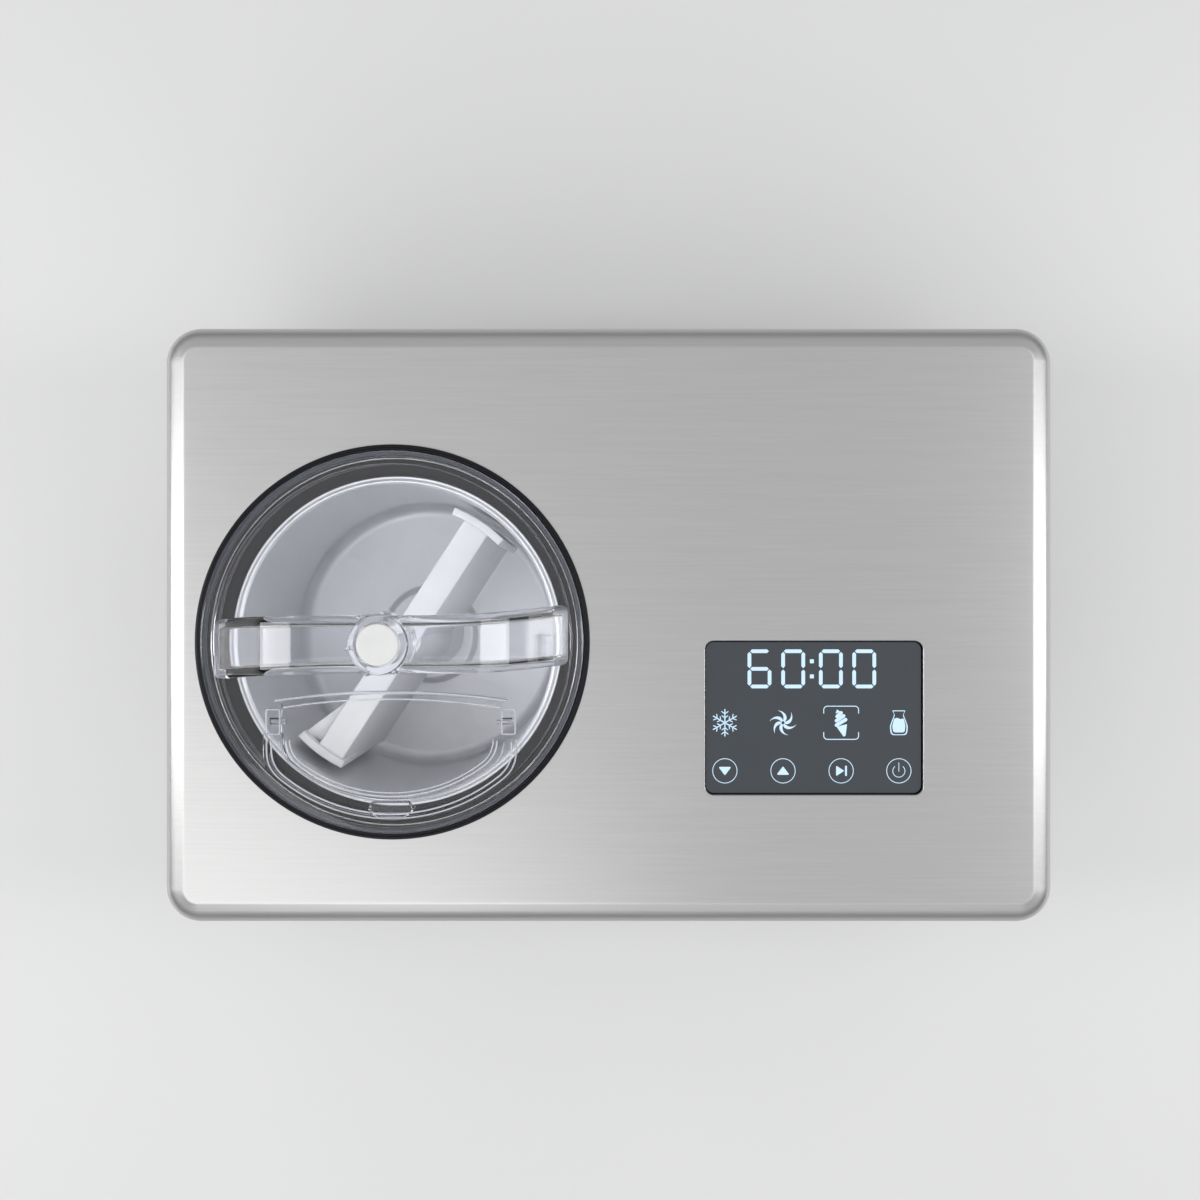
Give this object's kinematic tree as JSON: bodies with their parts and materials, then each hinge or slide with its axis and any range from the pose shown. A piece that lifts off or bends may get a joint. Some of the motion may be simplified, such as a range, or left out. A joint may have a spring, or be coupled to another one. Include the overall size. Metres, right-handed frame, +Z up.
{
  "type": "ice cream maker",
  "caption": "Compressor ice cream maker with a steel top, a lift-out bowl and driven paddle under a clear twist-on lid with an arched handle and fill flap.",
  "frame": {"origin": "middle of the body's footprint, on the surface that the feet stand on", "axes": "+X towards the display side, +Y towards the rear panel, +Z up"},
  "size_m": [0.425, 0.285, 0.262],
  "materials": {
    "brushed_top": "fine brushed, grain along X",
    "brushed_side": "fine brushed",
    "black_abs": "fine moulded texture",
    "collar_black": "gloss moulded",
    "foot_rubber": "matt",
    "plated_steel": "zinc plated",
    "screen": "dark grey window with pale blue symbols",
    "circuit_board": "solder mask",
    "cold_aluminium": "drawn",
    "bowl_aluminium": "satin inside, polished rim",
    "copper": "drawn copper tube",
    "bronze": "sintered",
    "foam": "expanded foam",
    "machine_grey": "satin",
    "pot_black": "satin black",
    "acetal": "natural",
    "steel": "ground",
    "condenser_aluminium": "mill",
    "clear_lid": "clear moulded plastic",
    "lid_silicone": "smoky translucent",
    "paddle_white": "satin",
    "cap_white": "gloss"
  },
  "bodies": {
    "housing": {"top_plate": "brushed_top", "body_wrap": "brushed_side", "rear_panel": "black_abs", "base_tray": "black_abs", "collar_ring": "collar_black", "display_glass": "screen", "display_housing": "black_abs", "display_board": "circuit_board", "evaporator_well": "cold_aluminium", "evaporator_coil": "copper", "insulation_jacket": "foam", "gearbox_case": "machine_grey", "gearbox_cover": "machine_grey", "motor_can": "steel", "shaft_bush": "bronze", "shaft_seal": "foot_rubber", "idler_axle": "steel", "compressor_shell": "pot_black", "start_relay": "black_abs", "condenser": "condenser_aluminium", "fan_frame": "black_abs", "filter_dryer": "copper", "discharge_tube": "copper", "liquid_tube": "copper", "capillary_tube": "copper", "suction_tube": "copper", "control_board": "circuit_board", "mains_inlet": "black_abs", "foot_1": "foot_rubber", "foot_screw_1": "plated_steel", "rear_screw_1": "plated_steel", "foot_2": "foot_rubber", "foot_screw_2": "plated_steel", "rear_screw_2": "plated_steel", "foot_3": "foot_rubber", "foot_screw_3": "plated_steel", "rear_screw_3": "plated_steel", "foot_4": "foot_rubber", "foot_screw_4": "plated_steel", "rear_screw_4": "plated_steel", "compressor_grommet_1": "foot_rubber", "compressor_grommet_2": "foot_rubber", "compressor_grommet_3": "foot_rubber"},
    "bowl": {"mixing_bowl": "bowl_aluminium"},
    "paddle": {"paddle": "paddle_white"},
    "lid_carrier": {"lid_seal": "lid_silicone"},
    "lid": {"lid_disc": "clear_lid", "lid_handle": "clear_lid", "hub_cap": "cap_white"},
    "flap": {"fill_flap": "clear_lid"},
    "drive": {"output_gear": "acetal", "drive_shaft": "steel"},
    "idler": {"idler_gear": "acetal"},
    "motor": {"motor_pinion": "steel"},
    "fan": {"fan_rotor": "black_abs"}
  },
  "joints": [
    {"name": "bowl_lift", "type": "slide", "parent": "housing", "child": "bowl", "axis": [0, 0, 1], "range_m": [0, 0.17]},
    {"name": "lid_lift", "type": "slide", "parent": "bowl", "child": "lid_carrier", "axis": [0, 0, 1], "range_m": [0, 0.08]},
    {"name": "lid_turn", "type": "hinge", "parent": "lid_carrier", "child": "lid", "pos_m": [-0.1026, -0.0079, 0.216], "axis": [0, 0, -1], "range_deg": [0, 20]},
    {"name": "flap_hinge", "type": "hinge", "parent": "lid", "child": "flap", "pos_m": [-0.1026, -0.0454, 0.2168], "axis": [-1, 0, 0], "range_deg": [0, 105]},
    {"name": "drive_spin", "type": "hinge", "parent": "housing", "child": "drive", "pos_m": [-0.1026, -0.0079, 0.05], "axis": [0, 0, 1], "continuous": true},
    {"name": "paddle_spin", "type": "hinge", "parent": "bowl", "child": "paddle", "pos_m": [-0.1026, -0.0079, 0.11], "axis": [0, 0, 1], "continuous": true},
    {"name": "idler_spin", "type": "hinge", "parent": "housing", "child": "idler", "pos_m": [-0.0555, -0.04088, 0.036], "axis": [0, 0, 1], "continuous": true},
    {"name": "motor_spin", "type": "hinge", "parent": "housing", "child": "motor", "pos_m": [-0.01931, -0.04726, 0.03], "axis": [0, 0, 1], "continuous": true},
    {"name": "fan_spin", "type": "hinge", "parent": "housing", "child": "fan", "pos_m": [0.16, 0.02, 0.088], "axis": [1, 0, 0], "continuous": true}
  ],
  "couplings": [
    {"joint": "paddle_spin", "follows": "drive_spin", "ratio": 1},
    {"joint": "idler_spin", "follows": "drive_spin", "ratio": -3.6},
    {"joint": "motor_spin", "follows": "drive_spin", "ratio": 11.52}
  ]
}
